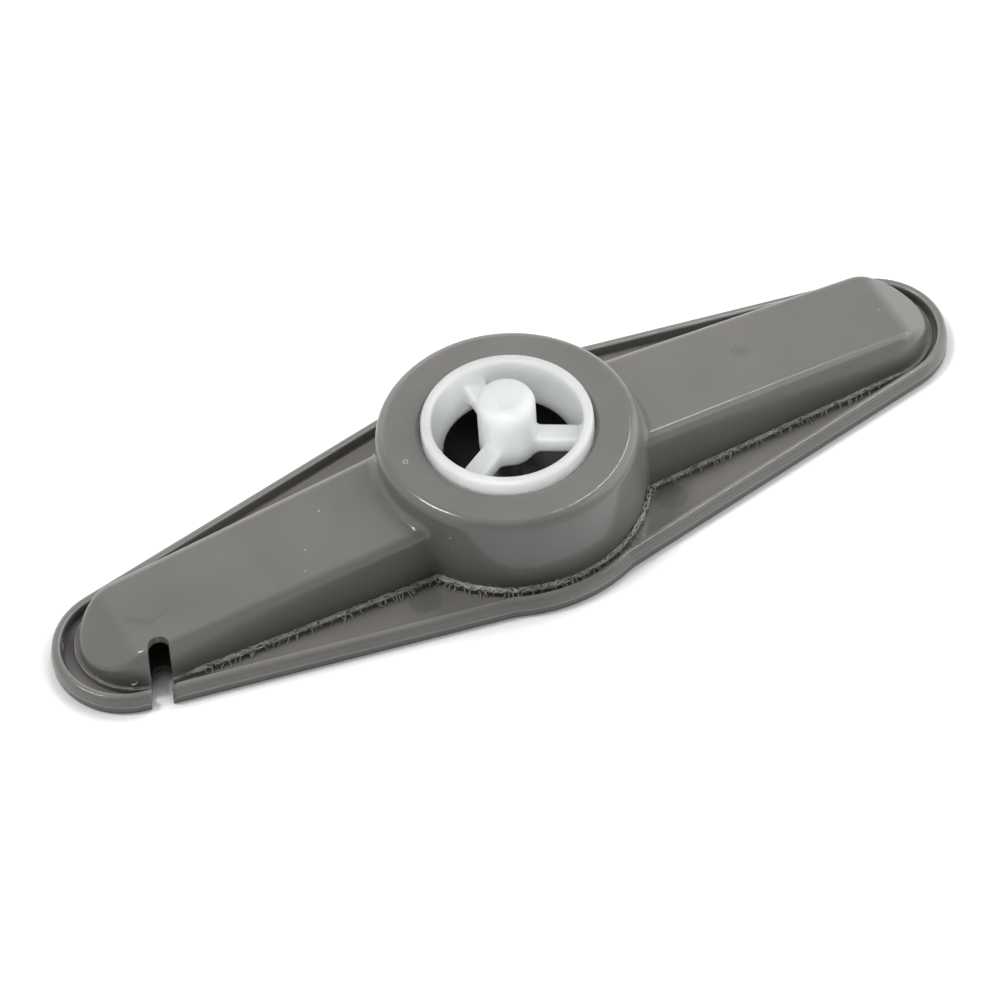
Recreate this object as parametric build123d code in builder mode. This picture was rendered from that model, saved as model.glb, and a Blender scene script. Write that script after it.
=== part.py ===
"""Spray arm of a dishwasher: a hollow arm welded from a shell and a plate, turning on a white bearing insert.

The hub's axis is Z, the plate's underside is the plane Z = 0, and the arms lie along X with the
driving slot at the -X end. All sizes are in millimetres and degrees.
"""

import os
from math import asin, cos, degrees, hypot, radians, sin, tan

from build123d import *

# Hub of the shell
shell_wall = 2.0
hub_radius = 29.3
hub_draft = 2.8
hub_top = 22.75
hub_roof = 2.4
hub_edge_radius = 2.6
hub_junction_radius = 2.4
bore_chamfer = 0.75

# Arms of the shell
arm_reach = 92.1
arm_root_radius = 16.4
arm_end_radius = 13.2
arm_draft = 8.6
arm_root_top = 17.6
arm_crease_top = 11.6
arm_crease_past_end = 3.6
arm_end_slope = 34.0
arm_crease_radius = 8.0
arm_shoulder_radius = 2.4

# Weld bead along the foot of the shell
bead_width = 0.75
bead_height = 1.1

# Spray plate
floor_thickness = 1.9
rim_height = 2.45
rim_width = 2.15
rim_chamfer = 0.5
ledge_width = 0.25
plate_overhang = 1.5
plate_shift = 0.9
belly_gap = 1.3
belly_bulge = 0.9
belly_blend_radius = 12.0
end_gap = 0.7
pad_radius = 13.4
pad_height = 1.4

# Driving slot, open to the side near the end of one arm
slot_width = 4.7
slot_from_end = 1.2
slot_off_axis = 10.4
slot_lean = 25.0

# Jets in the plate, staggered from one arm to the other
jet_width = 2.2
jet_length = 7.0
jet_first = 36.0
jet_pitch = 16.0
jet_count = 4
jet_off_axis = 3.5

# Ring of the bearing insert
ring_radius = 19.2
ring_clearance = 0.45
ring_proud = 3.05
ring_lip = 2.4
ring_lip_chamfer = 0.8
ring_foot_radius = 14.6
ring_skirt = 3.5
flange_width = 3.6
flange_thickness = 1.6
end_play = 0.3

# Spokes and post of the bearing insert
spoke_count = 3
spoke_start = 90.0
spoke_width = 4.8
spoke_height = 4.5
spoke_rise = 1.8
spoke_blend_radius = 1.6
spoke_chamfer = 0.8
boss_radius = 6.9
boss_rise = 0.6
post_radius = 6.5
post_proud = 7.2
post_tip_length = 2.8
post_tip_bevel = 0.85

# Wedge-shaped recess in the post's tip
notch_facing = -118.0
notch_front_width = 3.0
notch_back_width = 5.6
notch_length = 5.2
notch_reach = 3.5
notch_depth = 0.7

# Pivot: a pin of the plate in a blind hole of the post
pin_radius = 3.0
pin_clearance = 0.05
pin_chamfer = 0.6
pivot_depth = 9.0

# Nearness by which an edge or corner counts as lying on a surface
pick_margin = 0.1

# Heights and radii that follow from the sizes above
hub_foot_radius = hub_radius + (hub_top - floor_thickness) * tan(radians(hub_draft))
bore_radius = ring_radius + ring_clearance
roof_under = hub_top - hub_roof
flange_top = roof_under - end_play
flange_bottom = flange_top - flange_thickness
ring_top = hub_top + ring_proud
ring_bottom = flange_bottom - ring_skirt
lip_inner_radius = ring_radius - ring_lip
spoke_bottom = ring_bottom + spoke_rise
spoke_top = spoke_bottom + spoke_height
spoke_reach = ring_radius - ring_lip / 2
post_top = ring_top + post_proud
pivot_top = spoke_bottom + pivot_depth
belly_radius = hub_foot_radius + bead_width + belly_gap + rim_width + plate_shift
flank_radius = belly_radius - belly_bulge
plate_end_radius = arm_end_radius + bead_width + end_gap + rim_width
plate_reach = arm_reach + plate_overhang
arm_start = hub_radius / 2
arm_crease = arm_reach + arm_crease_past_end
wall_across = shell_wall / cos(radians(arm_draft))
notch_slope = degrees(asin(notch_depth / notch_length))
notch_back = Pos(0, 0, post_top) * Rot(0, 0, notch_facing) * Pos(notch_reach - notch_length, 0, 0)
notch_floor = Plane(notch_back * Rot(0, notch_slope, 0))


def lozenge(belly, end, reach):
    """Long outline: a belly arc about the middle, four straight flanks and two round ends."""
    lean = degrees(asin((belly - end) / reach))
    with BuildLine() as outline:
        plain_end = CenterArc((reach, 0), end, lean - 90, 180 - 2 * lean)
        slot_end = CenterArc((-reach, 0), end, 90 + lean, 180 - 2 * lean)
        back = CenterArc((0, 0), belly, 90 - lean, 2 * lean)
        front = CenterArc((0, 0), belly, -90 - lean, 2 * lean)
        Line(plain_end @ 1, back @ 0)
        Line(back @ 1, slot_end @ 0)
        Line(slot_end @ 1, front @ 0)
        Line(front @ 1, plain_end @ 0)
    make_face(outline.edges())


def plate_outline(inset):
    """Outline of the plate, moved inwards by an inset, with its belly swelling round the hub."""
    lozenge(flank_radius - inset, plate_end_radius - inset, plate_reach)
    Circle(belly_radius - inset)
    swell = [v for v in vertices() if abs(v.X) < belly_radius]
    fillet(swell, radius=belly_blend_radius)


def plate_plane(height):
    """Plane of the plate's own middle, which lies off the hub's axis towards the slot."""
    return Plane((-plate_shift, 0, height))


def arm_tongue(inset, lowered):
    """One arm towards +X, from inside the hub: a drafted tongue cut to the arm's side profile."""
    tip = arm_reach + arm_end_radius
    with BuildSketch(Plane.XY.offset(floor_thickness)) as tongue:
        lozenge(arm_root_radius - inset, arm_end_radius - inset, arm_reach)
        with Locations((arm_start, 0)):
            Rectangle(tip, 2 * arm_root_radius, align=(Align.MIN, Align.CENTER), mode=Mode.INTERSECT)
    extrude(tongue.sketch, amount=hub_top - floor_thickness, taper=arm_draft)
    crease_top = arm_crease_top - lowered
    tip_top = crease_top - (tip - arm_crease) * tan(radians(arm_end_slope))
    with BuildSketch(Plane.XZ) as side:
        with BuildLine():
            Polyline(
                (0, 0),
                (0, arm_root_top - lowered),
                (arm_crease, crease_top),
                (tip, tip_top),
                (tip, 0),
                close=True,
            )
        make_face()
        fillet(vertices().sort_by(Axis.X)[2], radius=arm_crease_radius)
    extrude(side.sketch, amount=arm_root_radius, both=True, mode=Mode.INTERSECT)


def hub_body(inset, top):
    """Drafted round hub about Z, from the plate's floor to a given height."""
    top_radius = hub_radius + (hub_top - top) * tan(radians(hub_draft)) - inset
    with BuildSketch(Plane.XZ) as half:
        with BuildLine():
            Polyline(
                (0, floor_thickness),
                (hub_foot_radius - inset, floor_thickness),
                (top_radius, top),
                (0, top),
                close=True,
            )
        make_face()
    revolve(half.sketch, axis=Axis.Z)


def looks_up(face):
    """True for a face that looks upwards more than sideways."""
    normal = face.normal_at()
    return normal.Z > hypot(normal.X, normal.Y)


def on_hub_wall(edge):
    """True for an edge that lies on the hub's wall, between its foot and its rounded top."""
    middle = edge @ 0.5
    wall = hub_radius + (hub_top - middle.Z) * tan(radians(hub_draft))
    off_wall = abs(hypot(middle.X, middle.Y) - wall)
    above_foot = middle.Z - floor_thickness
    below_top = hub_top - hub_edge_radius - middle.Z
    return off_wall < pick_margin < min(above_foot, below_top)


def driving_slot():
    """Upright cut through wall, floor and rim, leaning towards the end of the arm."""
    length = 2 * plate_end_radius
    middle_x = -(arm_reach - slot_from_end) - length / 2 * sin(radians(slot_lean))
    middle_y = -slot_off_axis - length / 2 * cos(radians(slot_lean))
    with BuildSketch() as cut:
        with Locations((middle_x, middle_y)):
            SlotCenterToCenter(length, slot_width, rotation=90 - slot_lean)
    extrude(cut.sketch, amount=hub_top, mode=Mode.SUBTRACT)


# Water way inside the shell
with BuildPart() as water_way:
    arm_tongue(wall_across, shell_wall)
    mirror(about=Plane.YZ)
    hub_body(shell_wall, roof_under)

# Shell: arms with rounded shoulders, hub with a rounded edge, weld bead, then the hollow
with BuildPart() as arm_shell:
    arm_tongue(0, 0)
    roof = arm_shell.faces().filter_by(looks_up)
    fillet(roof.edges().filter_by(Axis.Y, reverse=True), radius=arm_shoulder_radius)
    mirror(about=Plane.YZ)
    hub_body(0, hub_top)
    fillet(arm_shell.edges().filter_by(on_hub_wall), radius=hub_junction_radius)
    fillet(arm_shell.edges().group_by(Axis.Z)[-1], radius=hub_edge_radius)
    with BuildSketch(Plane.XY.offset(floor_thickness)):
        lozenge(arm_root_radius + bead_width, arm_end_radius + bead_width, arm_reach)
        Circle(hub_foot_radius + bead_width)
    extrude(amount=bead_height)
    add(water_way.part, mode=Mode.SUBTRACT)
    with BuildSketch(Plane.XY.offset(roof_under)):
        Circle(bore_radius)
    extrude(amount=hub_roof, mode=Mode.SUBTRACT)
    mouth = arm_shell.edges().filter_by(GeomType.CIRCLE).group_by(Axis.Z)[-1].sort_by(SortBy.RADIUS)[0]
    chamfer(mouth, length=bore_chamfer)
    driving_slot()

# Plate: base sheet, rim standing on it, centre pad with the pivot pin, jets
with BuildPart() as spray_plate:
    with BuildSketch(plate_plane(0)):
        plate_outline(0)
    extrude(amount=floor_thickness)
    with BuildSketch(plate_plane(floor_thickness)):
        plate_outline(ledge_width)
    extrude(amount=rim_height)
    with BuildSketch(plate_plane(floor_thickness)):
        plate_outline(rim_width)
    extrude(amount=rim_height, mode=Mode.SUBTRACT)
    chamfer(spray_plate.edges().group_by(Axis.Z)[-1], length=rim_chamfer)
    with BuildSketch():
        for index in range(jet_count):
            with Locations((jet_first + index * jet_pitch, jet_off_axis)):
                SlotOverall(jet_length, jet_width, rotation=90)
        for index in range(jet_count - 1):
            with Locations((-jet_first - (index + 0.5) * jet_pitch, -jet_off_axis)):
                SlotOverall(jet_length, jet_width, rotation=90)
    extrude(amount=floor_thickness, mode=Mode.SUBTRACT)
    with BuildSketch(Plane.XY.offset(floor_thickness)):
        Circle(pad_radius)
    extrude(amount=pad_height)
    with BuildSketch(Plane.XY.offset(floor_thickness)):
        Circle(pin_radius)
    extrude(amount=pivot_top - end_play - floor_thickness)
    chamfer(spray_plate.edges().group_by(Axis.Z)[-1], length=pin_chamfer)
    driving_slot()

# Bearing insert: spokes first, then the ring with its flange, then the post with the pivot hole
with BuildPart() as bearing_insert:
    with BuildSketch(Plane.XY.offset(spoke_bottom)):
        Circle(boss_radius)
        with PolarLocations(0, spoke_count, start_angle=spoke_start):
            with Locations((spoke_reach / 2, 0)):
                Rectangle(spoke_reach, spoke_width)
        roots = [v for v in vertices() if hypot(v.X, v.Y) < boss_radius + pick_margin]
        fillet(roots, radius=spoke_blend_radius)
    extrude(amount=spoke_height)
    chamfer(bearing_insert.edges().group_by(Axis.Z)[-1], length=spoke_chamfer)
    with BuildSketch(Plane.XZ):
        with BuildLine():
            Polyline(
                (ring_foot_radius, ring_bottom),
                (ring_radius, ring_bottom),
                (ring_radius, flange_bottom),
                (ring_radius + flange_width, flange_bottom),
                (ring_radius + flange_width, flange_top),
                (ring_radius, flange_top),
                (ring_radius, ring_top),
                (lip_inner_radius, ring_top),
                close=True,
            )
        make_face()
        chamfer(vertices().group_by(Axis.Y)[-1], length=ring_lip_chamfer)
    revolve(axis=Axis.Z)
    with BuildSketch(Plane.XZ):
        with BuildLine():
            Polyline(
                (0, spoke_bottom),
                (boss_radius, spoke_bottom),
                (boss_radius, spoke_top),
                (post_radius, spoke_top + boss_rise),
                (post_radius, post_top - post_tip_length),
                (post_radius - post_tip_bevel, post_top - post_tip_bevel),
                (post_radius - post_tip_length, post_top),
                (0, post_top),
                close=True,
            )
        make_face()
    revolve(axis=Axis.Z)
    with BuildSketch(Plane.XY.offset(spoke_bottom)):
        Circle(pin_radius + pin_clearance)
    extrude(amount=pivot_depth, mode=Mode.SUBTRACT)
    with BuildSketch(notch_floor):
        with BuildLine():
            Polyline(
                (0, notch_back_width / 2),
                (0, -notch_back_width / 2),
                (notch_length, -notch_front_width / 2),
                (notch_length, notch_front_width / 2),
                close=True,
            )
        make_face()
    extrude(amount=post_tip_length, mode=Mode.SUBTRACT)

os.makedirs("parts", exist_ok=True)
for piece, name in (
    (arm_shell, "arm_shell"),
    (spray_plate, "spray_plate"),
    (bearing_insert, "bearing_insert"),
):
    piece.part.label = name
    export_step(piece.part, f"parts/{name}.step")
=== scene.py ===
import math

import bmesh
import bpy
import numpy as np
from mathutils import Matrix, Vector


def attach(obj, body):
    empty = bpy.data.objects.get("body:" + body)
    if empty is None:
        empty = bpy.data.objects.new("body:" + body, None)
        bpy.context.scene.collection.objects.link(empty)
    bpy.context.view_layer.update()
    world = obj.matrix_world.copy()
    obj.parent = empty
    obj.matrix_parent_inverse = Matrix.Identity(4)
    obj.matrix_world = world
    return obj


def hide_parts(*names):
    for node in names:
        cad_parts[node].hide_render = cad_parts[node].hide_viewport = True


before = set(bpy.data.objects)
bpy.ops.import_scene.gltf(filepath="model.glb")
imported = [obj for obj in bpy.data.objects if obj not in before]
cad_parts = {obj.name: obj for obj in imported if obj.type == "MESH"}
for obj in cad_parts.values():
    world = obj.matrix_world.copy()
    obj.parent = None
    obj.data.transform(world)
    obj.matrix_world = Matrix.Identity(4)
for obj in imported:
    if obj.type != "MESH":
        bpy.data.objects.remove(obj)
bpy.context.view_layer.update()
scene = bpy.context.scene
mm = 0.001
print("frame loaded", sorted(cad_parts))


def meshObject(name, verts, faces, smooth=True):
    mesh = bpy.data.meshes.new(name)
    mesh.from_pydata(verts, [], faces)
    mesh.update()
    for poly in mesh.polygons:
        poly.use_smooth = smooth
    obj = bpy.data.objects.new(name, mesh)
    scene.collection.objects.link(obj)
    return obj


def putOn(obj, material, body):
    obj.data.materials.clear()
    obj.data.materials.append(material)
    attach(obj, body)
    return obj


# node helpers for materials and node trees
def newMaterial(name):
    material = bpy.data.materials.new(name)
    material.use_nodes = True
    nodes = material.node_tree.nodes
    nodes.clear()
    output = nodes.new("ShaderNodeOutputMaterial")
    shader = nodes.new("ShaderNodeBsdfPrincipled")
    material.node_tree.links.new(shader.outputs[0], output.inputs[0])
    return material, shader


def addNode(owner, kind, inputs=None, **settings):
    tree = getattr(owner, "node_tree", owner)
    node = tree.nodes.new(kind)
    for key, value in settings.items():
        setattr(node, key, value)
    for key, value in (inputs or {}).items():
        if isinstance(value, bpy.types.NodeSocket):
            tree.links.new(value, node.inputs[key])
        else:
            node.inputs[key].default_value = value
    return node


def mathNode(material, operation, a, b=0.0, clamp=False):
    return addNode(material, "ShaderNodeMath", {0: a, 1: b}, operation=operation, use_clamp=clamp).outputs[0]


def noiseNode(material, place, scale, detail=2.0, rough=0.5):
    inputs = {"Vector": place, "Scale": scale, "Detail": detail, "Roughness": rough}
    return addNode(material, "ShaderNodeTexNoise", inputs).outputs["Fac"]


def rangeNode(material, value, low, high, toLow, toHigh):
    inputs = {"Value": value, "From Min": low, "From Max": high, "To Min": toLow, "To Max": toHigh}
    return addNode(material, "ShaderNodeMapRange", inputs, clamp=True).outputs[0]


def mixColour(material, factor, a, b, blend="MIX"):
    node = addNode(material, "ShaderNodeMix", data_type="RGBA", blend_type=blend)
    for socket, value in ((node.inputs[0], factor), (node.inputs[6], a), (node.inputs[7], b)):
        if isinstance(value, bpy.types.NodeSocket):
            material.node_tree.links.new(value, socket)
        elif isinstance(value, float):
            socket.default_value = value
        else:
            socket.default_value = (*value, 1.0)
    return node.outputs[2]


def vectorNode(owner, operation, a, b=(0.0, 0.0, 0.0), output="Vector"):
    return addNode(owner, "ShaderNodeVectorMath", {0: a, 1: b}, operation=operation).outputs[output]


def scaledNode(owner, a, amount):
    inputs = {0: a, "Scale": amount}
    return addNode(owner, "ShaderNodeVectorMath", inputs, operation="SCALE").outputs["Vector"]


def bumpNode(material, size, height, under=None):        # size is strength and depth in millimetres
    inputs = {"Strength": size[0], "Distance": size[1] * mm, "Height": height}
    if under is not None:
        inputs["Normal"] = under
    return addNode(material, "ShaderNodeBump", inputs).outputs[0]


def spotMask(material, place, centre, size, soft):
    offset = vectorNode(material, "SUBTRACT", place, [c * mm for c in centre])
    scaled = vectorNode(material, "MULTIPLY", offset, [1 / (s * mm) for s in size])
    length = vectorNode(material, "LENGTH", scaled, output="Value")
    return rangeNode(material, length, 1.0 - soft, 1.0, 1.0, 0.0)


def lineMask(material, place, start, end, width, soft):
    run = Vector(end) - Vector(start)
    offset = vectorNode(material, "SUBTRACT", place, [c * mm for c in start])
    share = vectorNode(material, "DOT_PRODUCT", offset, run / (run.length_squared * mm), "Value")
    share = rangeNode(material, share, 0.0, 1.0, 0.0, 1.0)
    foot = scaledNode(material, list(run * mm), share)
    gap = vectorNode(material, "DISTANCE", offset, foot, "Value")
    return rangeNode(material, gap, width * mm * (1 - soft), width * mm, 1.0, 0.0)


# satin grey plastic of the shell and the plate
greyPlastic = {
    "shell": (0.205, 0.198, 0.186),
    "plate": (0.190, 0.182, 0.170),
    "flash": (0.42, 0.415, 0.38),
    # painted light: the rim is the plate's own plastic, drawn lighter than the plate
    "rim": (0.215, 0.208, 0.196),
    "edgeHighlight": (0.40, 0.39, 0.37),                         # painted highlights along the rim's edges
    "mottleScale": 55.0, "flashScale": 420.0,
    "mottleNoise": (4.0, 0.55),                          # detail, roughness
    "grainNoise": (1400.0, 3.0, 0.6),                    # scale, detail, roughness
    "waveNoise": (70.0, 1.0, 0.4),
    "noiseSpan": (0.3, 0.7),                             # part of a noise that is stretched to the full range
    "roughSpan": (0.35, 0.7),
    "glintSpan": (0.3, 0.65, 0.5, 1.0),                   # part of the mottle, and how it thins the painted edge highlights
    "vary": (0.93, 1.06), "flashVary": (0.65, 1.25),     # darkest and lightest mottle
    "grainColour": (0.10, 0.10, 0.095), "grainAmount": 0.10,
    "grainBump": (0.12, 0.06), "waveBump": (0.25, 0.25),
    "shellRoughness": (0.40, 0.52), "plateRoughness": (0.44, 0.56), "flashRoughness": (0.5, 0.65),
    "gloss": 0.22, "coat": 0.6, "coatRoughness": 0.13,
    "shellMarksAndHighlights": [                                      # centre, size, softness, colour, amount
        ((59.1, 1.4, 13.8), (2.9, 2.0, 1.5), 0.95, (0.11, 0.105, 0.10), 0.42),
        ((60.8, 0.4, 13.8), (0.9, 0.5, 1.5), 0.8, (0.10, 0.095, 0.09), 0.35),
        ((57.4, 2.4, 13.9), (0.7, 0.5, 1.5), 0.8, (0.10, 0.095, 0.09), 0.35),
        ((-44.7, 4.7, 14.8), (0.35, 0.35, 0.6), 0.6, (0.55, 0.55, 0.53), 0.8),
        ((-52.1, -3.6, 14.3), (0.30, 0.30, 0.6), 0.6, (0.50, 0.50, 0.48), 0.8),
        ((-54.7, -8.9, 14.1), (0.30, 0.25, 0.6), 0.6, (0.50, 0.50, 0.48), 0.8),
        ((-23.5, -17.9, 16.6), (0.30, 0.30, 0.5), 0.6, (0.48, 0.48, 0.46), 0.8),
        ((-21.8, -20.3, 12.3), (0.25, 0.25, 0.3), 0.6, (0.40, 0.40, 0.38), 0.7),
        ((-23.3, -18.4, 13.3), (0.25, 0.25, 0.3), 0.6, (0.40, 0.40, 0.38), 0.6),
        ((-20.4, -21.4, 16.0), (0.22, 0.22, 0.3), 0.6, (0.40, 0.40, 0.38), 0.6),
        ((-17.3, -24.3, 10.1), (0.22, 0.22, 0.3), 0.6, (0.40, 0.40, 0.38), 0.6),
        ((-11.7, -27.6, 7.9), (0.25, 0.25, 0.3), 0.6, (0.42, 0.42, 0.40), 0.7),
        ((14.8, -25.9, 11.6), (0.25, 0.25, 0.3), 0.6, (0.40, 0.40, 0.38), 0.7),
        # painted highlights: two small bright dots on the right end
        ((95.8, -9.9, 11.1), (0.32, 0.32, 0.6), 0.7, (0.50, 0.50, 0.48), 0.6),
        ((93.6, -1.1, 11.7), (0.30, 0.30, 0.6), 0.7, (0.48, 0.48, 0.46), 0.6),
    ],
    "shellLines": [                                      # start, end, width, softness, colour, amount
        ((-93.7, -0.6, 11.7), (-89.8, -3.65, 11.95), 1.3, 0.95, (0.12, 0.115, 0.105), 0.30),
        ((-89.8, -3.65, 11.95), (-85.0, -2.7, 12.25), 0.9, 0.95, (0.12, 0.115, 0.105), 0.30),
    ],
    "plateMarksAndShade": [
        ((-31.5, -19.7, 1.9), (3.9, 3.9, 2.0), 0.12, (0.145, 0.140, 0.128), 0.75),     # ejector marks
        ((30.0, -19.8, 1.9), (3.9, 3.9, 2.0), 0.12, (0.145, 0.140, 0.128), 0.75),
        ((-105.0, 6.5, 1.9), (5.5, 11.0, 2.2), 0.9, (0.060, 0.050, 0.068), 0.85),      # painted shade in the channel between rim and shell at the left end
        ((-101.0, 13.0, 1.9), (7.0, 4.5, 2.2), 0.9, (0.060, 0.050, 0.068), 0.80),
        # painted shade in the channel between rim and shell at the right end
        ((105.5, 2.0, 1.9), (4.0, 12.0, 2.2), 0.8, (0.060, 0.056, 0.060), 0.85),
        ((0.0, 0.0, 2.0), (27.0, 27.0, 6.0), 0.15, (0.070, 0.066, 0.078), 0.80),       # painted shade on the plate's floor inside the hub
    ],
}


def greyMaterial(name, base, roughness, marks=(), lines=(), vary=greyPlastic["vary"],
                 scale=greyPlastic["mottleScale"], pale=None):
    g = greyPlastic
    material, shader = newMaterial(name)
    link = material.node_tree.links.new
    place = addNode(material, "ShaderNodeTexCoord").outputs["Object"]
    mottle = noiseNode(material, place, scale, *g["mottleNoise"])
    grain = noiseNode(material, place, *g["grainNoise"])
    wave = noiseNode(material, place, *g["waveNoise"])
    dark, light = (tuple(c * k for c in base) for k in vary)
    colour = mixColour(material, rangeNode(material, mottle, *g["noiseSpan"], 0.0, 1.0), dark, light)
    fine = rangeNode(material, grain, *g["noiseSpan"], 0.0, g["grainAmount"])
    colour = mixColour(material, fine, colour, g["grainColour"])
    masks = [(spotMask(material, place, *mark[:3]), *mark[3:]) for mark in marks]
    masks += [(lineMask(material, place, *line[:4]), *line[4:]) for line in lines]
    if pale:                                             # painted highlights along the edges, as the mesh's own attribute says
        edgeGlint = addNode(material, "ShaderNodeAttribute", attribute_name="pale").outputs["Fac"]
        edgeGlint = mathNode(material, "MULTIPLY", edgeGlint, rangeNode(material, mottle, *g["glintSpan"]))
        masks.append((edgeGlint, pale, 1.0))
    for mask, tint, amount in masks:
        colour = mixColour(material, mathNode(material, "MULTIPLY", mask, amount), colour, tint)
    link(colour, shader.inputs["Base Color"])
    link(rangeNode(material, mottle, *g["roughSpan"], *roughness), shader.inputs["Roughness"])
    shader.inputs["Specular IOR Level"].default_value = g["gloss"]
    shader.inputs["Coat Weight"].default_value = g["coat"]
    shader.inputs["Coat Roughness"].default_value = g["coatRoughness"]
    bump = bumpNode(material, g["grainBump"], grain)
    link(bumpNode(material, g["waveBump"], wave, bump), shader.inputs["Normal"])
    return material


shellMaterial = greyMaterial("shellGrey", greyPlastic["shell"], greyPlastic["shellRoughness"],
                             greyPlastic["shellMarksAndHighlights"], greyPlastic["shellLines"])
plateMaterial = greyMaterial("plateGrey", greyPlastic["plate"], greyPlastic["plateRoughness"],
                             greyPlastic["plateMarksAndShade"])
flashMaterial = greyMaterial("weldFlashGrey", greyPlastic["flash"], greyPlastic["flashRoughness"],
                             vary=greyPlastic["flashVary"], scale=greyPlastic["flashScale"])
rimMaterial = greyMaterial("rimGrey", greyPlastic["rim"], greyPlastic["plateRoughness"],
                           pale=greyPlastic["edgeHighlight"])
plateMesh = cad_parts["spray_plate"].data
plateMesh.materials.clear()
plateMesh.materials.append(plateMaterial)
print("grey plastic set")


# the shell keeps its form, but its facets are merged and shaded evenly so that highlights run smoothly
shellSkin = {"mergeReach": 1e-7, "sharpAngle": 25.0, "flatWeight": 60}


def evenCopy(node, name, s):
    work = bmesh.new()
    work.from_mesh(node.data)
    bmesh.ops.remove_doubles(work, verts=work.verts, dist=s["mergeReach"])
    work.verts.index_update()
    verts = [tuple(v.co) for v in work.verts]
    faces = [tuple(v.index for v in f.verts) for f in work.faces]
    sharp = {tuple(sorted(v.index for v in e.verts)) for e in work.edges
             if e.calc_face_angle(math.pi) > math.radians(s["sharpAngle"])}
    work.free()
    obj = meshObject(name, verts, faces)
    for edge in obj.data.edges:
        edge.use_edge_sharp = tuple(sorted(edge.vertices)) in sharp
    modifier = obj.modifiers.new("evenNormals", "WEIGHTED_NORMAL")
    modifier.mode, modifier.weight, modifier.keep_sharp = "FACE_AREA_WITH_ANGLE", s["flatWeight"], True
    mesh = bpy.data.meshes.new_from_object(obj.evaluated_get(bpy.context.evaluated_depsgraph_get()))
    obj.modifiers.remove(modifier)
    obj.data = mesh
    mesh.name = name
    return obj


shellObject = evenCopy(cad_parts["arm_shell"], "armShell", shellSkin)
putOn(shellObject, shellMaterial, "arm")
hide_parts("arm_shell")
print("shell", len(shellObject.data.polygons), "faces")


# white bearing insert, drawn as a distance field so that its spokes run softly into ring and post
bearingInsert = {
    "ringRadius": 19.2, "ringBottom": 14.95, "ringTop": 25.8, "lip": 2.4, "footRadius": 14.6, "bowl": 0.7,
    "flangeRadius": 22.8, "flangeBottom": 18.45, "flangeTop": 20.05, "edge": 0.35,
    "spokeAngles": (90, 210, 330), "spokeWidth": 4.8, "spokeBottom": 16.75, "spokeTop": 21.25,
    "spokeReach": 18.0, "spokeRound": 0.8, "blend": 1.3,
    "postRadius": 6.5, "postTop": 33.0, "tipRound": 2.8,
    "holeRadius": 3.05, "holeTop": 25.75,
    "notchFacing": -118.0, "notchLength": 5.2, "notchReach": 3.5, "notchDepth": 0.7,
    "notchFront": 3.0, "notchBack": 5.6, "notchSoft": 0.25,
    "edgeSteps": 4, "flangeSteps": 3, "lipSteps": 16, "bowlSteps": 12, "tipSteps": 14, "pastAxis": -1.0,
    "boxLow": (-23.4, -23.4, 14.2), "boxHigh": (23.4, 23.4, 33.8), "cell": 0.4,
    "pulls": 4, "probe": 0.02, "leastSlope": 0.2,        # how the net is pulled onto the true surface
    "colour": (0.87, 0.885, 0.885), "coolTint": (0.975, 0.99, 1.0), "roughness": (0.28, 0.36),
    "cloudNoise": (90.0, 3.0, 0.5), "grainNoise": (1800.0, 2.0, 0.5), "noiseSpan": (0.3, 0.7),
    "grainBump": (0.05, 0.05), "scatter": 0.9, "scatterDepth": 8.0,
}
farAway = 1e9


def arcPoints(centre, radius, start, end, steps):
    angles = [math.radians(start + (end - start) * i / steps) for i in range(steps + 1)]
    return [(centre[0] + radius * math.cos(a), centre[1] + radius * math.sin(a)) for a in angles]


def polygonDistance(points, corners):
    corners = np.array(corners)
    best = np.full(len(points), farAway)
    sign = np.ones(len(points))
    for a, b in zip(corners, np.roll(corners, 1, axis=0)):
        edge = b - a
        to = points - a
        share = np.clip((to @ edge) / (edge @ edge), 0, 1)
        off = to - share[:, None] * edge
        best = np.minimum(best, (off ** 2).sum(1))
        above = points[:, 1] >= a[1]
        below = points[:, 1] < b[1]
        left = edge[0] * to[:, 1] > edge[1] * to[:, 0]
        flip = (above & below & left) | (~above & ~below & ~left)
        sign = np.where(flip, -sign, sign)
    return sign * np.sqrt(best)


def softUnion(a, b, width):
    share = np.maximum(width - np.abs(a - b), 0) / width
    return np.minimum(a, b) - share * share * width / 4


def softCut(a, b, width):
    share = np.maximum(width - np.abs(a + b), 0) / width
    return np.maximum(a, -b) + share * share * width / 4


def ringProfile(s):
    lipRadius = s["lip"] / 2
    lipCentre = (s["ringRadius"] - lipRadius, s["ringTop"] - lipRadius)
    e = s["edge"]
    profile = arcPoints((s["ringRadius"] - e, s["ringBottom"] + e), e, -90, 0, s["edgeSteps"])
    profile += [(s["ringRadius"], s["flangeBottom"])]
    profile += arcPoints((s["flangeRadius"] - e, s["flangeBottom"] + e), e, -90, 0, s["flangeSteps"])
    profile += arcPoints((s["flangeRadius"] - e, s["flangeTop"] - e), e, 0, 90, s["flangeSteps"])
    profile += [(s["ringRadius"], s["flangeTop"])]
    profile += arcPoints(lipCentre, lipRadius, 0, 180, s["lipSteps"])
    innerTop = profile[-1]
    for i in range(1, s["bowlSteps"]):
        t = i / s["bowlSteps"]
        radius = innerTop[0] + (s["footRadius"] - innerTop[0]) * t + s["bowl"] * 4 * t * (1 - t)
        profile.append((radius, innerTop[1] + (s["ringBottom"] + e - innerTop[1]) * t))
    profile += arcPoints((s["footRadius"] + e, s["ringBottom"] + e), e, 180, 270, s["edgeSteps"])
    return profile


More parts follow.
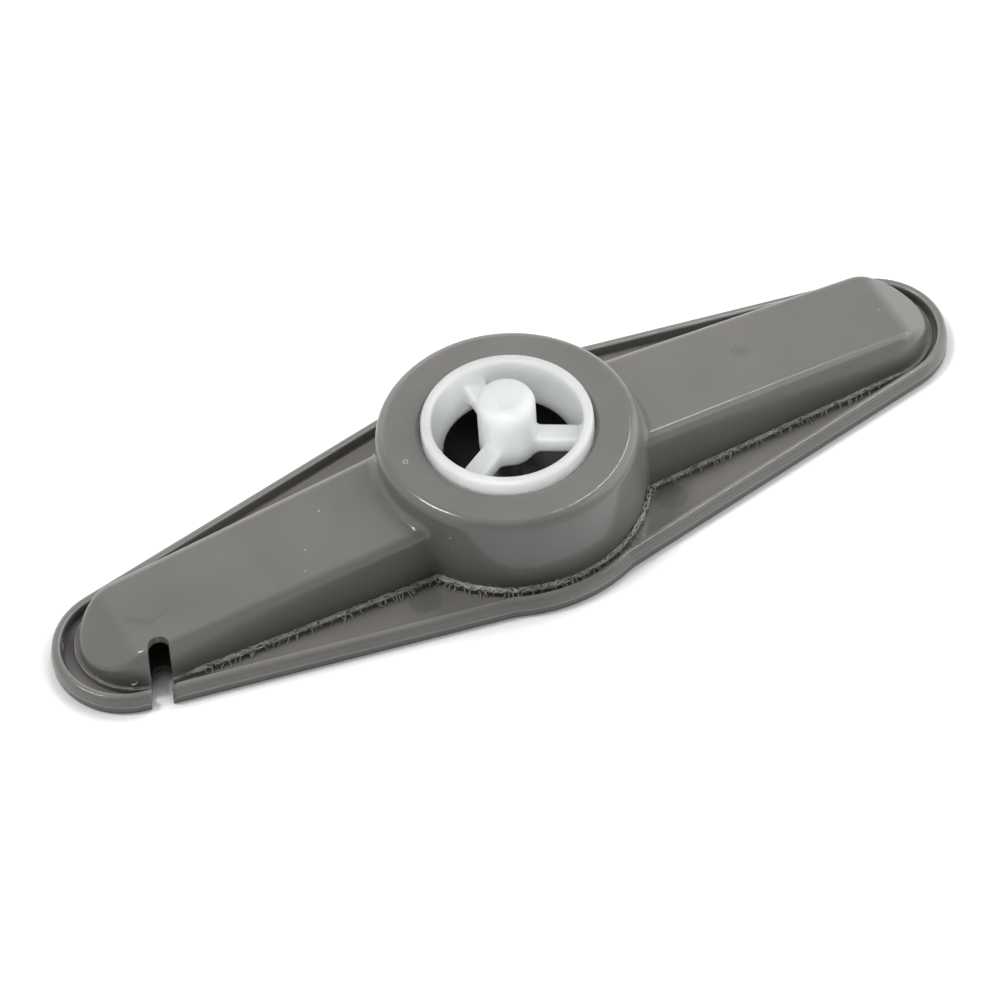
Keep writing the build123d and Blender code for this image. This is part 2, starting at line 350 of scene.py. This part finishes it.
def insertDistance(points):
    s = bearingInsert
    radial = np.hypot(points[:, 0], points[:, 1])
    section = np.stack([radial, points[:, 2]], 1)
    ring = polygonDistance(section, ringProfile(s))
    middle = (s["spokeBottom"] + s["spokeTop"]) / 2
    spokes = np.full(len(points), farAway)
    half = np.array([s["spokeReach"] / 2, s["spokeWidth"] / 2, (s["spokeTop"] - s["spokeBottom"]) / 2])
    for angle in s["spokeAngles"]:
        c, n = math.cos(math.radians(angle)), math.sin(math.radians(angle))
        local = np.stack([points[:, 0] * c + points[:, 1] * n - half[0],
                          points[:, 1] * c - points[:, 0] * n, points[:, 2] - middle], 1)
        q = np.abs(local) - (half - s["spokeRound"])
        box = np.linalg.norm(np.maximum(q, 0), axis=1) + np.minimum(q.max(1), 0) - s["spokeRound"]
        spokes = np.minimum(spokes, box)
    tip = s["tipRound"]
    postProfile = [(s["pastAxis"], s["spokeBottom"]), (s["postRadius"], s["spokeBottom"])]
    postProfile += arcPoints((s["postRadius"] - tip, s["postTop"] - tip), tip, 0, 90, s["tipSteps"])
    postProfile += [(s["pastAxis"], s["postTop"])]
    post = polygonDistance(section, postProfile)
    body = softUnion(post, spokes, s["blend"])
    body = softUnion(body, ring, s["blend"])
    hole = np.maximum(radial - s["holeRadius"], points[:, 2] - s["holeTop"])
    body = np.maximum(body, -hole)
    slope = math.asin(s["notchDepth"] / s["notchLength"])
    f = math.radians(s["notchFacing"])
    along = points[:, 0] * math.cos(f) + points[:, 1] * math.sin(f) - (s["notchReach"] - s["notchLength"])
    across = points[:, 1] * math.cos(f) - points[:, 0] * math.sin(f)
    rise = points[:, 2] - s["postTop"]
    run = along * math.cos(slope) - rise * math.sin(slope)
    lift = along * math.sin(slope) + rise * math.cos(slope)
    wide = s["notchBack"] / 2 + (s["notchFront"] - s["notchBack"]) / 2 * run / s["notchLength"]
    wedge = np.maximum.reduce([-lift, run - s["notchLength"], -run, np.abs(across) - wide])
    return softCut(body, wedge, s["notchSoft"])


def gradientOf(distance, points, reach):
    columns = []
    for axis in range(3):
        shift = np.zeros(3)
        shift[axis] = reach
        columns.append((distance(points + shift) - distance(points - shift)) / (2 * reach))
    return np.stack(columns, 1)


def skinOf(distance, s):
    cell = s["cell"]
    counts = [int(math.ceil((h - l) / cell)) + 1 for l, h in zip(s["boxLow"], s["boxHigh"])]
    axes = [l + cell * np.arange(n) for l, n in zip(s["boxLow"], counts)]
    grid = np.stack(np.meshgrid(*axes, indexing="ij"), -1)
    field = distance(grid.reshape(-1, 3)).reshape(counts)
    cells = [n - 1 for n in counts]
    total = np.zeros((*cells, 3))
    hits = np.zeros(cells)
    edges = []
    for axis in range(3):
        first = [slice(None)] * 3
        second = [slice(None)] * 3
        first[axis], second[axis] = slice(0, -1), slice(1, None)
        a, b = field[tuple(first)], field[tuple(second)]
        crossing = (a < 0) != (b < 0)
        share = np.where(crossing, a / np.where(crossing, a - b, 1), 0)
        spot = grid[tuple(first)].copy()
        spot[..., axis] += share * cell
        u, v = [k for k in range(3) if k != axis]
        for du in (0, 1):
            for dv in (0, 1):
                take = [slice(None)] * 3
                take[u] = slice(du, du + cells[u])
                take[v] = slice(dv, dv + cells[v])
                here = crossing[tuple(take)]
                total += np.where(here[..., None], spot[tuple(take)], 0)
                hits += here
        edges.append((axis, u, v, crossing, a < 0))
    used = hits > 0
    index = np.full(cells, -1)
    index[used] = np.arange(used.sum())
    points = total[used] / hits[used][:, None]
    for _ in range(s["pulls"]):
        slope = gradientOf(distance, points, s["probe"])
        step = distance(points) / np.maximum((slope ** 2).sum(1), s["leastSlope"])
        points -= np.clip(step, -cell / 2, cell / 2)[:, None] * slope
    faces = []
    for axis, u, v, crossing, inside in edges:
        spots = np.argwhere(crossing)
        past = (spots[:, u] > 0) & (spots[:, v] > 0)
        spots = spots[past & (spots[:, u] < cells[u]) & (spots[:, v] < cells[v])]
        unitU, unitV = np.eye(3, dtype=int)[u], np.eye(3, dtype=int)[v]
        ring = [index[tuple(c.T)] for c in (spots - unitU - unitV, spots - unitV, spots, spots - unitU)]
        quads = np.stack(ring, 1)
        outward = inside[tuple(spots.T)] != (axis == 1)
        quads[~outward] = quads[~outward][:, ::-1]
        faces.append(quads)
    return points, np.concatenate(faces)


insertPoints, insertFaces = skinOf(insertDistance, bearingInsert)
insertObject = meshObject("bearingInsert", (insertPoints * mm).tolist(), insertFaces.tolist())


def insertMaterial(s):
    material, shader = newMaterial("insertWhite")
    link = material.node_tree.links.new
    place = addNode(material, "ShaderNodeTexCoord").outputs["Object"]
    cloud = noiseNode(material, place, *s["cloudNoise"])
    grain = noiseNode(material, place, *s["grainNoise"])
    cool = tuple(c * k for c, k in zip(s["colour"], s["coolTint"]))
    share = rangeNode(material, cloud, *s["noiseSpan"], 0.0, 1.0)
    link(mixColour(material, share, cool, s["colour"]), shader.inputs["Base Color"])
    link(rangeNode(material, cloud, *s["noiseSpan"], *s["roughness"]), shader.inputs["Roughness"])
    shader.inputs["Subsurface Weight"].default_value = s["scatter"]
    shader.inputs["Subsurface Radius"].default_value = (1.0, 1.0, 1.0)
    shader.inputs["Subsurface Scale"].default_value = s["scatterDepth"] * mm
    link(bumpNode(material, s["grainBump"], grain), shader.inputs["Normal"])
    return material


putOn(insertObject, insertMaterial(bearingInsert), "insert")
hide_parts("bearing_insert")
print("bearing insert", len(insertPoints), "points")


# ragged flash squeezed out of the weld along the foot of the shell
weldFlash = {
    "outline": {"hub": 30.32, "root": 16.4, "end": 13.2, "reach": 92.1, "shift": 0.0},   # foot of the shell
    "rimFlank": 32.35, "rimEnd": 14.65, "rimBelly": 33.25,                               # inside of the rim
    "offset": 0.55, "height": 3.15, "steps": 24, "nearHub": 0.2,
    "startX": -86.8, "endTurn": 242.0,                   # the driving slot breaks the weld between these
    "endFullness": 0.16, "backFullness": 0.85, "hubFullness": 1.15, "rightFullness": 0.85,
    "startFullness": 0.3, "startFade": 2.5, "endFade": 9.0, "endLead": 4.0,
    "curl": (-97.8, -11.4, 3.4), "curlRadius": 0.75, "curlRise": 1.5, "curlTurns": 1.3,
    "curlSteps": 20, "curlTighten": 0.45, "curlFullness": 0.5, "curlFade": 0.3,
    "inputs": {                                          # sizes of the node tree, in metres
        "Threads": 9, "Step": 0.00036, "Spread": 0.00048, "Pitch": 0.050, "Wander": 4.5,
        "Thread Radius": 0.00024, "Ragged": 0.00050, "Ragged Scale": 640.0, "Floor": 0.00206, "Seed": 7,
        "Strand Step": 0.00060, "Strand Share": 0.55, "Strand Radius": 0.00021,
        "Fuzz Step": 0.0004, "Fuzz Share": 0.85, "Fuzz Radius": 0.00011, "Jitter": 0.0007,
    },
    "noiseRoughness": 0.6, "seedStride": 3.7,
    "threads": {
        "stride": 5.3, "sides": 5, "flatten": 0.7,
        "wanderScale": 0.3, "wanderDetail": 2.0, "shakeDetail": 3.0,
        "lumpScale": 1.7, "lumpShift": 31.0, "lumpDetail": 2.0, "lumpGain": 2.0, "lumpBase": -0.15,
    },
    "strands": {
        "sides": 4, "bendSteps": 7, "leastSize": 0.12, "taper": 1.2,
        "driftScale": 2100.0, "driftDetail": 1.0, "crookScale": 1.3, "crookDetail": 2.0,
    },
    "hanging": {                                         # strands from the string down to the floor
        "name": "Strand", "swing": (0.1, 0.1, 0.8), "spread": 0.0005, "draw": 10,
        "bends": ((0.0, 0.0002, 0.0), (0.0003, -0.0010, -0.0004), (0.0, -0.0023, -0.0013)),
        "sizes": (0.35, 1.0), "sizeDraw": 40, "leastRoom": 0.0014, "fullRoom": 0.0016,
    },
    "fuzz": {                                            # short hairs along the string itself
        "name": "Fuzz", "swing": (0.5, 0.6, 0.7), "spread": 0.0013, "draw": 20,
        "bends": ((-0.0009, 0.0, -0.0001), (0.0, -0.0002, 0.0004), (0.0010, 0.0, 0.0001)),
        "sizes": (0.5, 1.3), "sizeDraw": 50,
    },
}

# rounded skin of the plate's rim, with painted highlights as pale lines along its two edges
rimCap = {
    "outline": {"hub": 35.4, "root": 34.5, "end": 16.8, "reach": 93.6, "shift": -0.9},
    "offset": 0.0, "startX": -91.25, "endTurn": 259.1, "endX": -96.5, "steps": 60, "slant": 0.466,
    "profile": [                                         # outwards of the plate's edge, height, paleness of the painted edge highlight
        (-0.50, 1.60, 0.0), (0.03, 1.62, 0.0), (0.09, 1.80, 0.6), (0.10, 1.95, 1.0), (0.04, 2.12, 0.5),
        (-0.03, 2.30, 0.0), (-0.10, 2.90, 0.0), (-0.18, 3.50, 0.0), (-0.32, 3.95, 0.0), (-0.58, 4.26, 0.0),
        (-0.95, 4.41, 0.0), (-1.35, 4.45, 0.0), (-1.70, 4.42, 0.3), (-1.95, 4.34, 1.0), (-2.08, 4.18, 0.6),
        (-2.13, 3.95, 0.0), (-2.05, 3.60, 0.0), (-1.00, 2.50, 0.0),
    ],
}


def outlinePath(s, leastRun=0.2):                        # round a hub with two tapering arms, seen from above
    o, d = s["outline"], s["offset"]
    root, end, hub = o["root"] + d, o["end"] + d, o["hub"] + d
    lean = math.asin((o["root"] - o["end"]) / o["reach"])
    leanDegrees = math.degrees(lean)
    joint = math.degrees(math.atan2(-root, math.sqrt(hub * hub - root * root))) + leanDegrees
    hubX = hub * math.cos(math.radians(joint))
    endX = o["reach"] + end * math.sin(lean)
    steps = s["steps"]

    def flank(x0, x1, side):                             # side -1 is the front of an arm, +1 its back
        places = np.linspace(x0, x1, steps)
        return [(x, side * (root - abs(x) * math.sin(lean)) / math.cos(lean)) for x in places]

    points = flank(s["startX"] - o["shift"], -hubX, -1)
    points += arcPoints((0, 0), hub, -180 - joint, joint, steps)
    points += flank(hubX, endX, -1)
    points += arcPoints((o["reach"], 0), end, leanDegrees - 90, 90 - leanDegrees, steps)
    points += flank(endX, hubX, 1)
    points += arcPoints((0, 0), hub, -joint, 180 + joint, steps)
    points += flank(-hubX, -endX, 1)
    points += arcPoints((-o["reach"], 0), end, 90 + leanDegrees, s["endTurn"], steps)
    if "endX" in s:
        points += flank(-endX, s["endX"] - o["shift"], -1)
    kept = [points[0]]
    for point in points[1:]:
        if math.dist(point, kept[-1]) > leastRun:
            kept.append(point)
    return np.array(kept) + (o["shift"], 0)


def flashRoom(s, point):                                 # free floor between the foot and the rim
    x, y = point
    o = s["outline"]
    radius = math.hypot(x, y)
    if radius < o["hub"] + s["offset"] + s["nearHub"]:
        return s["rimBelly"] - o["hub"]
    share = min(abs(x) / o["reach"], 1.0)
    foot = o["root"] + (o["end"] - o["root"]) * share
    return s["rimFlank"] + (s["rimEnd"] - s["rimFlank"]) * share - foot


def flashFullness(s, point, along):
    x, y = point
    past = max(abs(x) - s["outline"]["reach"] + s["endLead"], 0.0)
    full = 1.0 - (1.0 - s["endFullness"]) * min(past / s["endFade"], 1.0)
    if y > 0:
        full *= s["backFullness"]
    elif x > 0:
        full *= s["rightFullness"]
    elif math.hypot(x, y) < s["outline"]["hub"] + s["offset"] + s["nearHub"]:
        full *= s["hubFullness"]
    return full * min(s["startFullness"] + along / s["startFade"], 1.0)     # it starts as a pointed tail


def guideObject(name, verts, edges, attributes):
    mesh = bpy.data.meshes.new(name)
    mesh.from_pydata(verts, edges, [])
    for key, values in attributes.items():
        mesh.attributes.new(key, "FLOAT", "POINT").data.foreach_set("value", values)
    guide = bpy.data.objects.new(name, mesh)
    scene.collection.objects.link(guide)
    return guide


def flashGuide(s):
    path = outlinePath(s)
    along = np.concatenate([[0], np.cumsum(np.linalg.norm(np.diff(path, axis=0), axis=1))])
    verts = [(x * mm, y * mm, s["height"] * mm) for x, y in path]
    edges = [(i, i + 1) for i in range(len(verts) - 1)]
    fullness = [flashFullness(s, p, a) for p, a in zip(path, along)]
    room = [flashRoom(s, p) * mm for p in path]
    first = len(verts)
    for i in range(s["curlSteps"]):                      # loose curl beside the driving slot
        t = i / (s["curlSteps"] - 1)
        angle = 2 * math.pi * s["curlTurns"] * t
        radius = s["curlRadius"] * (1 - s["curlTighten"] * t)
        x, y, z = s["curl"]
        verts.append(((x + radius * math.cos(angle)) * mm, (y + radius * math.sin(angle)) * mm,
                      (z + s["curlRise"] * t) * mm))
        fullness.append(s["curlFullness"] - s["curlFade"] * t)
        room.append(0.0)
    edges += [(first + i, first + i + 1) for i in range(s["curlSteps"] - 1)]
    return guideObject("weldFlashGuide", verts, edges, {"fullness": fullness, "room": room})


def fibreTree(s):
    tree = bpy.data.node_groups.new("fibreTree", "GeometryNodeTree")
    face = tree.interface
    face.new_socket("Geometry", in_out="INPUT", socket_type="NodeSocketGeometry")
    for name, value in s["inputs"].items():
        kind = "NodeSocketInt" if isinstance(value, int) else "NodeSocketFloat"
        face.new_socket(name, in_out="INPUT", socket_type=kind)
    face.new_socket("Material", in_out="INPUT", socket_type="NodeSocketMaterial")
    face.new_socket("Geometry", in_out="OUTPUT", socket_type="NodeSocketGeometry")
    given = addNode(tree, "NodeGroupInput").outputs
    middle = (0.5, 0.5, 0.5)
    up = (0.0, 0.0, 1.0)

    def geometry(kind, inputs, **settings):
        return addNode(tree, "GeometryNode" + kind, inputs, **settings).outputs[0]

    def maths(operation, a, b=0.0):
        return mathNode(tree, operation, a, b)

    def vector(operation, a, b):
        return vectorNode(tree, operation, a, b)

    def scaled(a, amount):
        return scaledNode(tree, a, amount)

    def attribute(name):
        return geometry("InputNamedAttribute", {"Name": name}, data_type="FLOAT")

    def along(name):
        return addNode(tree, "GeometryNodeSplineParameter").outputs[name]

    def noise(scale, w, detail):
        inputs = {"W": w, "Scale": scale, "Detail": detail, "Roughness": s["noiseRoughness"]}
        return addNode(tree, "ShaderNodeTexNoise", inputs, noise_dimensions="4D").outputs

    def tubes(path, sides, size):
        ring = geometry("CurvePrimitiveCircle", {"Resolution": sides, "Radius": 1.0})
        inputs = {"Curve": path, "Profile Curve": ring, "Scale": size, "Fill Caps": True}
        return geometry("CurveToMesh", inputs)

    def randomValue(kind, low, high, step):              # step keeps the draws of one seed apart
        ends = {"FLOAT": ("Min_001", "Max_001", "Value_001"), "FLOAT_VECTOR": ("Min", "Max", "Value")}[kind]
        node = addNode(tree, "FunctionNodeRandomValue", data_type=kind)
        byIdentifier = {socket.identifier: socket for socket in node.inputs}
        byIdentifier[ends[0]].default_value = low
        byIdentifier[ends[1]].default_value = high
        tree.links.new(maths("ADD", given["Seed"], step), byIdentifier["Seed"])
        return next(socket for socket in node.outputs if socket.identifier == ends[2])

    curve = geometry("MeshToCurve", {"Mesh": given["Geometry"]})
    tangent = geometry("InputTangent", {})
    outward = vector("CROSS_PRODUCT", tangent, up)
    fullness = attribute("fullness")
    seedShift = maths("MULTIPLY", given["Seed"], s["seedStride"])

    # threads matted round the path
    t = s["threads"]
    fine = geometry("ResampleCurve", {"Curve": curve, "Length": given["Step"]}, mode="LENGTH")
    inputs = {"Geometry": fine, "Amount": given["Threads"]}
    copies = addNode(tree, "GeometryNodeDuplicateElements", inputs, domain="SPLINE").outputs
    index = copies["Duplicate Index"]
    ownShift = maths("ADD", maths("MULTIPLY", index, t["stride"]), seedShift)
    wanderScale = maths("MULTIPLY", given["Ragged Scale"], t["wanderScale"])
    wander = noise(wanderScale, ownShift, t["wanderDetail"])[0]
    turn = maths("DIVIDE", along("Length"), given["Pitch"])
    turn = maths("ADD", turn, maths("DIVIDE", index, given["Threads"]))
    turn = maths("ADD", turn, maths("MULTIPLY", wander, given["Wander"]))
    angle = maths("MULTIPLY", turn, 2 * math.pi)
    reach = maths("MULTIPLY", given["Spread"], fullness)
    across = scaled(outward, maths("MULTIPLY", maths("COSINE", angle), reach))
    lift = scaled(up, maths("MULTIPLY", maths("SINE", angle), maths("MULTIPLY", reach, t["flatten"])))
    shake = vector("SUBTRACT", noise(given["Ragged Scale"], ownShift, t["shakeDetail"])[1], middle)
    shake = scaled(shake, maths("MULTIPLY", given["Ragged"], fullness))
    offset = vector("ADD", vector("ADD", across, lift), shake)
    moved = geometry("SetPosition", {"Geometry": copies[0], "Offset": offset})
    lumpScale = maths("MULTIPLY", given["Ragged Scale"], t["lumpScale"])
    lumps = noise(lumpScale, maths("ADD", ownShift, t["lumpShift"]), t["lumpDetail"])[0]
    thick = maths("ADD", maths("MULTIPLY", lumps, t["lumpGain"]), t["lumpBase"])
    thick = maths("MULTIPLY", maths("MULTIPLY", thick, given["Thread Radius"]), fullness)
    threads = tubes(moved, t["sides"], thick)

    def strandLayer(layer, size):
        k, name, draw = s["strands"], layer["name"], layer["draw"]
        dots = geometry("ResampleCurve", {"Curve": curve, "Length": given[name + " Step"]}, mode="LENGTH")
        drift = noise(k["driftScale"], maths("ADD", seedShift, draw), k["driftDetail"])[1]
        drift = scaled(vector("SUBTRACT", drift, middle), layer["spread"])
        dots = geometry("SetPosition", {"Geometry": dots, "Offset": drift})
        share = maths("MULTIPLY", fullness, given[name + " Share"])
        lucky = maths("LESS_THAN", randomValue("FLOAT", 0.0, 1.0, draw), share)
        wanted = maths("MULTIPLY", lucky, maths("GREATER_THAN", size, k["leastSize"]))
        settings = {"axis": "X", "pivot_axis": "Z"}
        aim = addNode(tree, "FunctionNodeAlignRotationToVector", {"Vector": tangent}, **settings).outputs[0]
        start, bend, tip = layer["bends"]
        strand = geometry("CurveQuadraticBezier", {
            "Resolution": k["bendSteps"], "Start": start, "Middle": bend, "End": tip})
        hung = geometry("InstanceOnPoints", {
            "Points": dots, "Selection": wanted, "Instance": strand, "Rotation": aim, "Scale": size})
        turned = randomValue("FLOAT_VECTOR", [-w for w in layer["swing"]], layer["swing"], draw + 1)
        hung = geometry("RotateInstances", {"Instances": hung, "Rotation": turned, "Local Space": True})
        loose = geometry("RealizeInstances", {"Geometry": hung})
        crookScale = maths("MULTIPLY", given["Ragged Scale"], k["crookScale"])
        crook = vector("SUBTRACT", noise(crookScale, seedShift, k["crookDetail"])[1], middle)
        loose = geometry("SetPosition", {"Geometry": loose, "Offset": scaled(crook, given["Jitter"])})
        here = addNode(tree, "ShaderNodeSeparateXYZ", {0: geometry("InputPosition", {})}).outputs
        resting = {0: here[0], 1: here[1], 2: maths("MAXIMUM", here[2], given["Floor"])}
        rested = addNode(tree, "ShaderNodeCombineXYZ", resting).outputs[0]
        loose = geometry("SetPosition", {"Geometry": loose, "Position": rested})
        taper = maths("SUBTRACT", k["taper"], along("Factor"))
        return tubes(loose, k["sides"], maths("MULTIPLY", taper, given[name + " Radius"]))

    # strands that hang from the string to the floor, and fuzz along the string itself
    h, f = s["hanging"], s["fuzz"]
    free = maths("DIVIDE", maths("SUBTRACT", attribute("room"), h["leastRoom"]), h["fullRoom"])
    hangSize = randomValue("FLOAT", *h["sizes"], h["sizeDraw"])
    hangSize = maths("MULTIPLY", maths("MINIMUM", free, 1.0), hangSize)
    hanging = strandLayer(h, maths("MULTIPLY", hangSize, fullness))
    fuzzSize = randomValue("FLOAT", *f["sizes"], f["sizeDraw"])
    fuzz = strandLayer(f, maths("MULTIPLY", fullness, fuzzSize))

    joined = addNode(tree, "GeometryNodeJoinGeometry")
    for part in (hanging, fuzz, threads):
        tree.links.new(part, joined.inputs[0])
    smooth = geometry("SetShadeSmooth", {"Geometry": joined.outputs[0]})
    real = geometry("RealizeInstances", {"Geometry": smooth})
    painted = geometry("SetMaterial", {"Geometry": real, "Material": given["Material"]})
    addNode(tree, "NodeGroupOutput", {"Geometry": painted})
    return tree


def bakeTree(guide, tree, values, name):
    modifier = guide.modifiers.new("tree", "NODES")
    modifier.node_group = tree
    for item in tree.interface.items_tree:
        if item.in_out == "INPUT" and item.name in values:
            modifier[item.identifier] = values[item.name]
    ready = guide.evaluated_get(bpy.context.evaluated_depsgraph_get())
    mesh = bpy.data.meshes.new_from_object(ready)
    mesh.name = name
    obj = bpy.data.objects.new(name, mesh)
    scene.collection.objects.link(obj)
    guide.modifiers.remove(modifier)
    bpy.data.objects.remove(guide)
    return obj


fibres = fibreTree(weldFlash)
flashValues = {**weldFlash["inputs"], "Material": flashMaterial}
flashObject = bakeTree(flashGuide(weldFlash), fibres, flashValues, "weldFlash")
putOn(flashObject, flashMaterial, "arm")
print("weld flash", sum(len(p.vertices) - 2 for p in flashObject.data.polygons), "triangles")


def sweptRim(s):
    path = outlinePath(s)
    along = np.gradient(path, axis=0)
    along /= np.linalg.norm(along, axis=1)[:, None]
    verts, pale = [], []
    for i, (point, run) in enumerate(zip(path, along)):
        slant = s["slant"] if i in (0, len(path) - 1) else 0.0         # both ends follow the driving slot
        for out, height, paleness in s["profile"]:
            x, y = point + out * np.array((run[1], -run[0])) - slant * out * run
            verts.append((x * mm, y * mm, height * mm))
            pale.append(paleness)
    count = len(s["profile"])
    faces = [tuple(range(count)), tuple(reversed(range(len(verts) - count, len(verts))))]
    for i in range(len(path) - 1):
        for k in range(count):
            n = (k + 1) % count
            faces.append((i * count + k, (i + 1) * count + k, (i + 1) * count + n, i * count + n))
    obj = meshObject("rimCap", verts, faces)
    obj.data.attributes.new("pale", "FLOAT", "POINT").data.foreach_set("value", pale)
    return obj


putOn(sweptRim(rimCap), rimMaterial, "arm")
print("rim cap set")


# mark of the moulding gate on top of the hub: a tiny raised ring
gateMark = {
    "centre": (-24.32, 1.68, 22.75), "radius": 0.52, "wall": 0.16, "height": 0.14, "sunk": 0.05,
    "steps": 28, "archSteps": 6,
}


def gateRing(s):
    x, y, z = s["centre"]
    profile = [(s["radius"] - s["wall"], -s["sunk"]), (s["radius"] + s["wall"], -s["sunk"])]
    profile += arcPoints((s["radius"], 0), s["wall"], 0, 180, s["archSteps"])
    verts, faces = [], []
    count = len(profile)
    for i in range(s["steps"]):
        a = 2 * math.pi * i / s["steps"]
        for r, h in profile:
            verts.append(((x + r * math.cos(a)) * mm, (y + r * math.sin(a)) * mm,
                          (z + h * s["height"] / s["wall"]) * mm))
        here, following = i * count, (i + 1) % s["steps"] * count
        for k in range(count):
            n = (k + 1) % count
            faces.append((here + k, following + k, following + n, here + n))
    return meshObject("gateMark", verts, faces)


putOn(gateRing(gateMark), flashMaterial, "arm")
print("gate mark set")


# floor and light
studio = {
    "floorHalf": 3.0, "floorDrop": 0.05, "floorColour": (0.93, 0.93, 0.93), "floorLift": 0.30,
    "gapReach": 6.0, "gapOpen": (0.56, 0.92), "gapSamples": 12,     # narrow gaps keep their shade
    "skyFill": 0.04, "skyDim": 0.06, "horizon": (0.25, 0.60),
    "lamps": {                                           # degrees (azimuth from +X), metres and watts
        "rightPanel": {"azimuth": -8, "elevation": 36, "away": 1.5, "size": (1.7, 1.5), "power": 16.4},
        "leftPanel": {"azimuth": 176, "elevation": 42, "away": 1.5, "size": (1.5, 1.4), "power": 4.6},
        "backPanel": {"azimuth": 90, "elevation": 30, "away": 1.6, "size": (1.4, 0.8), "power": 4.8},
        "lampBackLeft": {"azimuth": 139, "elevation": 64, "away": 1.25, "size": (0.10, 0.30), "power": 5.6,
                         "skips": ["bearingInsert"]},
        "lampBackRight": {"azimuth": 46, "elevation": 57.5, "away": 1.25, "size": (0.11, 0.38), "power": 2.8,
                          "skips": ["bearingInsert"]},
        "insertFill": {"azimuth": -126, "elevation": 38, "away": 1.4, "size": (1.5, 0.9), "power": 16.3,
                       "only": ["bearingInsert"]},
    },
}


def studioFloor(s):
    h = s["floorHalf"]
    corners = [(-h, -h, 0), (h, -h, 0), (h, h, 0), (-h, h, 0)]
    floor = meshObject("studioFloor", corners, [(0, 1, 2, 3)], smooth=False)
    floor.data.transform(Matrix.Translation((0, 0, -s["floorDrop"] * mm)))
    material = bpy.data.materials.new("paleFloor")
    material.use_nodes = True
    material.node_tree.nodes.clear()
    link = material.node_tree.links.new
    output = addNode(material, "ShaderNodeOutputMaterial")
    matte = addNode(material, "ShaderNodeBsdfDiffuse", {"Color": (*s["floorColour"], 1.0)})
    path = addNode(material, "ShaderNodeLightPath")
    seen = mathNode(material, "ADD", path.outputs["Is Camera Ray"], path.outputs["Is Glossy Ray"], True)
    seen = mathNode(material, "ADD", seen, path.outputs["Is Transmission Ray"], True)
    reach = {"Distance": s["gapReach"] * mm}
    clear = addNode(material, "ShaderNodeAmbientOcclusion", reach, samples=s["gapSamples"]).outputs["AO"]
    lift = rangeNode(material, clear, *s["gapOpen"], 0.0, s["floorLift"])
    glow = addNode(material, "ShaderNodeEmission", {"Strength": mathNode(material, "MULTIPLY", seen, lift)})
    both = addNode(material, "ShaderNodeAddShader", {0: matte.outputs[0], 1: glow.outputs[0]})
    link(both.outputs[0], output.inputs[0])
    floor.data.materials.append(material)


def studioWorld(s):
    world = bpy.data.worlds.new("studioWorld")
    world.use_nodes = True
    scene.world = world
    background = world.node_tree.nodes["Background"]
    background.inputs["Color"].default_value = (1.0, 1.0, 1.0, 1.0)
    path = addNode(world, "ShaderNodeLightPath")
    toward = addNode(world, "ShaderNodeTexCoord").outputs["Generated"]
    height = addNode(world, "ShaderNodeSeparateXYZ", {0: toward}).outputs["Z"]
    backdrop = rangeNode(world, height, *s["horizon"], 1.0, s["skyDim"])   # pale near the floor, dim overhead
    glossy, through = path.outputs["Is Glossy Ray"], path.outputs["Is Transmission Ray"]
    mirrored = mathNode(world, "ADD", glossy, through, True)
    strength = mathNode(world, "ADD", mathNode(world, "MULTIPLY", mirrored, backdrop), s["skyFill"])
    strength = mathNode(world, "MAXIMUM", strength, path.outputs["Is Camera Ray"])
    world.node_tree.links.new(strength, background.inputs["Strength"])


def studioLamp(name, spec):
    lamp = bpy.data.lights.new(name, "AREA")
    lamp.shape = "RECTANGLE"
    lamp.size, lamp.size_y = spec["size"]
    lamp.energy = spec["power"]
    obj = bpy.data.objects.new(name, lamp)
    scene.collection.objects.link(obj)
    a, e = math.radians(spec["azimuth"]), math.radians(spec["elevation"])
    direction = Vector((math.cos(a) * math.cos(e), math.sin(a) * math.cos(e), math.sin(e)))
    obj.location = direction * spec["away"]
    obj.rotation_mode = "QUATERNION"
    obj.rotation_quaternion = direction.to_track_quat("Z", "Y")
    for key, state in (("only", "INCLUDE"), ("skips", "EXCLUDE")):     # pieces lit alone, or left out
        if key in spec:
            linked = bpy.data.collections.new(name + "Linked")
            for pieceName in spec[key]:
                linked.objects.link(bpy.data.objects[pieceName])
            for member in linked.collection_objects:
                member.light_linking.link_state = state
            obj.light_linking.receiver_collection = linked


studioFloor(studio)
studioWorld(studio)
for lampName, lampSpec in studio["lamps"].items():
    studioLamp(lampName, lampSpec)
print("studio set")


# camera at the photograph's viewing angle
cameraView = {
    "azimuth": -23.876, "elevation": 49.193, "roll": -4.130, "distance": 1202.79, "aim": (-1.257, 0.0, 0.0),
    "focalPixels": 5369.97, "shiftPixels": (7.204, -4.453), "imagePixels": 1000.0, "sensorWidth": 36.0,
}


def photoCamera(s):
    a, e, r = (math.radians(s[k]) for k in ("azimuth", "elevation", "roll"))
    back = Vector((math.sin(a) * math.cos(e), -math.cos(a) * math.cos(e), math.sin(e)))
    right = Vector((math.cos(a), math.sin(a), 0.0))
    up = back.cross(right)
    turnedRight = right * math.cos(r) + up * math.sin(r)
    turnedUp = up * math.cos(r) - right * math.sin(r)
    data = bpy.data.cameras.new("photoCamera")
    data.sensor_width = s["sensorWidth"]
    data.lens = s["focalPixels"] / s["imagePixels"] * data.sensor_width
    data.shift_x = -s["shiftPixels"][0] / s["imagePixels"]
    data.shift_y = s["shiftPixels"][1] / s["imagePixels"]
    obj = bpy.data.objects.new("photoCamera", data)
    scene.collection.objects.link(obj)
    turn = Matrix((turnedRight, turnedUp, back)).transposed().to_4x4()
    obj.matrix_world = Matrix.Translation((Vector(s["aim"]) + back * s["distance"]) * mm) @ turn
    scene.camera = obj


photoCamera(cameraView)
scene.view_settings.view_transform = "Standard"
print("camera set")
